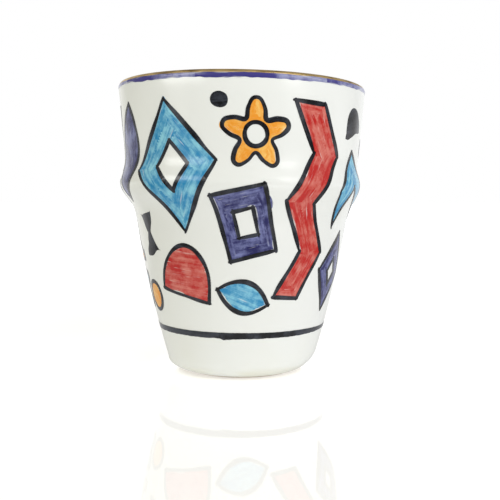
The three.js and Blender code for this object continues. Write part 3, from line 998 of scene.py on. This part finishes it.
class CUP_OT_pour_glaze(Operator):
    """Glaze the outside, the inside and the hollow under the foot"""

    bl_idname = "coffee_cup.pour_glaze"
    bl_label = "Pour glaze"

    def execute(self, context):
        form = context.scene.cup_form
        outer = coat(outside_line(form), form.glaze)
        turn_piece(context, "outer_glaze", outer, "white_glaze", "glaze")
        line = inside_line(form)
        under = shifted(line, -form.glaze)
        under[-1, 0] = 0
        inner = np.vstack([thinned(under, 3)[::-1], line])
        turn_piece(context, "inner_glaze", inner, "white_glaze", "glaze")
        gap, soft = 0.15 * MM, 0.3 * MM
        edge = form.foot_radius - form.foot_ring_width - gap
        low, high = form.foot_recess - form.glaze, form.foot_recess
        turn = np.linspace(0, math.pi / 2, 6)
        inset, lift = soft * (1 - np.sin(turn)), soft * (1 - np.cos(turn))
        rounding = np.column_stack([edge - inset, low + lift])
        pool = np.vstack([[[0, low]], rounding, [[edge, high], [0, high]]])
        turn_piece(context, "recess_glaze", pool, "white_glaze", "glaze")
        return {"FINISHED"}


class CUP_OT_draw_gold_line(Operator):
    """Draw the gold line over the lip"""

    bl_idname = "coffee_cup.draw_gold_line"
    bl_label = "Draw gold line"

    def execute(self, context):
        form, paint = context.scene.cup_form, context.scene.cup_paint
        reach = form.wall / 2
        start = math.asin(1 - paint.gold_outside / reach)
        end = math.pi - math.asin(1 - paint.gold_inside / reach)
        rise, thickness = 0.03 * MM, 0.06 * MM
        over = shifted(lip_arc(form, start, end), rise)
        turn_piece(context, "rim_gold_line", coat(over, thickness, 1), "gold_lustre", "gold")
        return {"FINISHED"}


class CUP_OT_draw_lines(Operator):
    """Draw the blue band under the lip and the black line above the foot"""

    bl_idname = "coffee_cup.draw_lines"
    bl_label = "Draw blue and black lines"

    def execute(self, context):
        form, paint = context.scene.cup_form, context.scene.cup_paint
        run = np.linspace(0, 360, RING_COLUMNS + 1)[:-1]

        radius = form.rim_radius
        top = (form.height - paint.blue_top) / MM
        high = top + waver((0.1, 40, 3), (0.05, 150, 4))
        low = top - paint.blue_width / MM + waver((0.2, 24, 5), (0.22, 110, 6))
        low += 0.3 * np.sin(np.radians(run + BAND_JOINT)) ** 2
        # This load also paints pale stretches into the band where the glints fall: a painted
        # highlight
        load = ring_load(run, BAND_REFILLS_AND_GLINTS, BAND_LASTS)
        band = ring_sheet("rim_blue_band_brushed", form, low, high, 5, radius, BAND_JOINT, load)
        lay_paint(context, band, 0.0, radius, paint.fill_rise, "indigo_band", ["rim_blue_band"])

        radius = float(outside_radius(form, paint.black_top))
        lap = np.exp(-run / 14) * np.clip(run / 2.4, 0, 1)
        thinning = np.exp(-((run - 84) / 20) ** 2)
        high = paint.black_top / MM + waver((0.16, 14, 8), (0.06, 90, 9))
        low = high - paint.black_width / MM + waver((0.2, 18, 10), (0.12, 130, 11))
        low += 0.5 * thinning - 0.6 * lap
        load = ring_load(run, LINE_STROKES, LINE_LASTS)
        line = ring_sheet("base_black_line_brushed", form, low, high, 4, radius, LINE_JOINT, load)
        lay_paint(context, line, 0.0, radius, paint.line_rise, "black", ["base_black_line"])
        return {"FINISHED"}


class CUP_OT_fill_motifs(Operator):
    """Brush the colours of the motifs on the wall"""

    bl_idname = "coffee_cup.fill_motifs"
    bl_label = "Fill motifs"

    def execute(self, context):
        paint = context.scene.cup_paint
        shy = paint.fill_shy / MM
        for motif in motifs(context):
            outer = motif.edge(0, shy)
            holes = [motif.edge(i, shy) for i in range(1, len(motif.spans))]
            points, triangles = flat_union([outer], holes, FILL_SPACING)
            brush, edge = motif.brush_run(points, triangles), edge_distance(points, triangles)
            mesh = sheet_mesh(f"{motif.name}_fill", points, triangles, brush, edge)
            lay_paint(context, mesh, motif.middle, motif.radius, paint.fill_rise,
                      motif.colour, [motif.node])
        return {"FINISHED"}


class CUP_OT_outline_motifs(Operator):
    """Draw the black outlines round the motifs"""

    bl_idname = "coffee_cup.outline_motifs"
    bl_label = "Outline motifs"

    def execute(self, context):
        paint = context.scene.cup_paint
        width, overshoot = paint.outline_width / MM, paint.overshoot / MM
        for motif in motifs(context):
            if motif.colour == "black":
                continue
            shapes = []
            for i, spans in enumerate(motif.spans):
                for j, line in enumerate(spans):
                    shapes += strokes(line, width, overshoot, motif.seed + i + 0.2 * j)
            points, triangles = flat_union(shapes, [], OUTLINE_SPACING)
            brush, edge = motif.brush_run(points, triangles), np.zeros(len(points))
            mesh = sheet_mesh(f"{motif.name}_outline", points, triangles, brush, edge)
            lay_paint(context, mesh, motif.middle, motif.radius, paint.line_rise, "black", [])
        return {"FINISHED"}


class CUP_OT_set_stage(Operator):
    """Set up the floor, the lights and the camera"""

    bl_idname = "coffee_cup.set_stage"
    bl_label = "Set stage"

    def execute(self, context):
        stage = context.scene.cup_stage
        context.scene.view_settings.view_transform = "Standard"
        self.lay_floor(stage)
        self.light_room(context.scene, stage)

        # Lamps: power, degrees to the right of the front and up, and distance and size in metres
        key = self.softbox("key_softbox", stage.key_light, 36, 30, 1.2, (0.7, 0.5))
        key.visible_glossy = False
        glints = [self.softbox("left_window", stage.left_light, -54, 16, 0.8, (0.6, 0.22)),
                  self.softbox("right_window", stage.right_light, 44, 16, 0.8, (0.24, 0.22)),
                  self.softbox("left_panel", stage.panel_light, -60, 6, 0.85, (0.3, 0.3)),
                  self.softbox("right_panel", stage.panel_light, 48, 6, 0.85, (0.3, 0.3))]
        self.only_glints(glints, ("_thrown", "_brushed", "_fill", "_outline"))
        lip_glints = [self.softbox("left_lip_window", stage.lip_light, -24, 40, 0.8, (0.46, 0.32)),
                      self.softbox("right_lip_window", stage.lip_light, 48, 50, 0.8, (0.26, 0.26))]
        self.only_glints(lip_glints, "rim_gold_line_thrown")

        self.place_camera(context.scene, stage)
        return {"FINISHED"}

    @staticmethod
    def lay_floor(stage):
        mesh = bpy.data.meshes.new("studio_floor")
        reach, low = 6.0, -0.02 * MM
        corners = [(x * reach, y * reach, low) for x, y in ((-1, -1), (1, -1), (1, 1), (-1, 1))]
        mesh.from_pydata(corners, [], [(0, 1, 2, 3)])
        material, g, shader = new_material("studio_white")
        place = g.add("ShaderNodeTexCoord")["Object"]
        feed(g, shader, roughness=0.01 + g.noise(place, 30) * 0.02)
        shader["Base Color"].default_value = (0.93, 0.93, 0.93, 1)
        shader["IOR"].default_value = 1.4
        path = g.add("ShaderNodeLightPath")
        away = g.length(place)
        glow = stage.floor_glow * (1 - away.smooth(0.03, 0.1) * 0.7)
        # Painted light: the floor shown to the camera is lifted round the foot, so the contact
        # shadow there is lightened
        foot_shadow_lift = (1 - away.smooth(0.022, 0.036)) * 0.1
        shown = stage.floor_white + foot_shadow_lift - away.smooth(0.05, 0.11) * 0.07
        glow = glow + path["Is Camera Ray"] * (shown - glow) + away.smooth(0.2, 1.2) * 0.4
        lift = g.add("ShaderNodeEmission", {}, {"Strength": glow})["Emission"]
        tree = material.node_tree
        body = Wire(g, tree.nodes["Principled BSDF"].outputs["BSDF"])
        white = g.add("ShaderNodeAddShader", {}, {0: body, 1: lift})["Shader"]
        # What the cup's gloss shows of the floor is a painted glow rather than the lit floor:
        # stronger close to the cup and behind it, with a painted window reflection on the right
        _, behind, _ = g.split(place)
        near = stage.floor_gloss * (1 - away.smooth(0.06, 0.2) * 0.75)
        painted_window_spot = (0.125, -0.2, 0.0)
        aside = g.length(g.vector("SUBTRACT", place, painted_window_spot))
        near = near + stage.floor_sheen * (1 - aside.smooth(0.02, 0.12))
        gloss = near + behind.smooth(0.0, 0.2) * (1 - near)
        mirrored = g.add("ShaderNodeEmission", {}, {"Strength": gloss})["Emission"]
        shaders = {0: path["Is Glossy Ray"], 1: white, 2: mirrored}
        both = g.add("ShaderNodeMixShader", {}, shaders)["Shader"]
        tree.links.new(both.socket, tree.nodes["Material Output"].inputs["Surface"])
        mesh.materials.append(material)
        new_piece("studio_floor", mesh)

    @staticmethod
    def light_room(scene, stage):
        scene.world = bpy.data.worlds.new("white_room")
        scene.world.use_nodes = True
        g = Graph(scene.world.node_tree)
        path = g.add("ShaderNodeLightPath")
        across, behind, _ = g.split(g.add("ShaderNodeTexCoord")["Generated"])
        gloss = stage.room_gloss + behind.smooth(0.58, 0.88) * (1 - stage.room_gloss)
        seen = g.maths("MAXIMUM", path["Is Camera Ray"], path["Is Transmission Ray"])
        strength = stage.room_light + seen * (1 - stage.room_light)
        strength = strength + path["Is Glossy Ray"] * (gloss - stage.room_light)
        from_left = path["Is Diffuse Ray"] * (1 - across.smooth(-0.9, 0.5))
        tint = g.blend(from_left, (1, 1, 1), stage.room_tint)
        background = scene.world.node_tree.nodes["Background"]
        g.tree.links.new(tint.socket, background.inputs["Color"])
        g.tree.links.new(strength.socket, background.inputs["Strength"])

    @staticmethod
    def softbox(name, power, turn, lift, distance, size):
        light = bpy.data.lights.new(name, "AREA")
        light.shape = "RECTANGLE"
        light.size, light.size_y = size
        light.energy = power
        lamp = new_piece(name, light)
        turn, lift = math.radians(turn), math.radians(lift)
        flat = math.cos(lift)
        away = Vector((math.sin(turn) * flat, -math.cos(turn) * flat, math.sin(lift)))
        place = Matrix.Translation(LAMP_AIM + distance * away)
        lamp.matrix_world = place @ away.to_track_quat("Z", "Y").to_matrix().to_4x4()
        return lamp

    @staticmethod
    def only_glints(lamps, endings):
        """Lets lamps show in the gloss of the pieces whose names end so, and do nothing else"""
        glossy = bpy.data.collections.new("glossy_pieces")
        for piece in bpy.context.scene.objects:
            if piece.name.endswith(endings):
                glossy.objects.link(piece)
        for lamp in lamps:
            lamp.visible_diffuse = False
            lamp.light_linking.receiver_collection = glossy

    @staticmethod
    def place_camera(scene, stage):
        view = bpy.data.cameras.new("photo_view")
        view.sensor_width = 36
        view.lens = stage.camera_lens
        view.clip_start = 0.01
        scene.camera = new_piece("photo_view", view)
        aim = Matrix.Rotation(-stage.camera_yaw, 4, "Z")
        aim = aim @ Matrix.Rotation(math.pi / 2 + stage.camera_pitch, 4, "X")
        aim = aim @ Matrix.Rotation(stage.camera_roll, 4, "Z")
        place = Matrix.Translation((0, -stage.camera_distance, stage.camera_height))
        scene.camera.matrix_world = place @ aim


OPERATORS = (CUP_OT_throw_clay, CUP_OT_pour_glaze, CUP_OT_draw_gold_line, CUP_OT_draw_lines,
             CUP_OT_fill_motifs, CUP_OT_outline_motifs, CUP_OT_set_stage)
GROUPS = {"cup_form": CupForm, "cup_paint": CupPaint,
          "cup_colours": CupColours, "cup_stage": CupStage}


class CUP_PT_coffee_cup(Panel):
    """Sizes, colours and steps of the coffee cup"""

    bl_label = "Coffee cup"
    bl_space_type = "VIEW_3D"
    bl_region_type = "UI"
    bl_category = "Coffee cup"

    def draw(self, context):
        for group, kind in GROUPS.items():
            box = self.layout.box()
            box.label(text=kind.__doc__)
            for name in kind.__annotations__:
                box.prop(getattr(context.scene, group), name)
        for operator in OPERATORS:
            self.layout.operator(operator.bl_idname)


def register():
    for kind in (*GROUPS.values(), *OPERATORS, CUP_PT_coffee_cup):
        bpy.utils.register_class(kind)
    for name, kind in GROUPS.items():
        setattr(bpy.types.Scene, name, PointerProperty(type=kind))


def unregister():
    for name in GROUPS:
        delattr(bpy.types.Scene, name)
    for kind in reversed((*GROUPS.values(), *OPERATORS, CUP_PT_coffee_cup)):
        bpy.utils.unregister_class(kind)


def main():
    register()
    bpy.ops.coffee_cup.throw_clay()
    bpy.ops.coffee_cup.pour_glaze()
    bpy.ops.coffee_cup.draw_gold_line()
    bpy.ops.coffee_cup.draw_lines()
    bpy.ops.coffee_cup.fill_motifs()
    bpy.ops.coffee_cup.outline_motifs()
    bpy.ops.coffee_cup.set_stage()


if __name__ == "__main__":
    main()
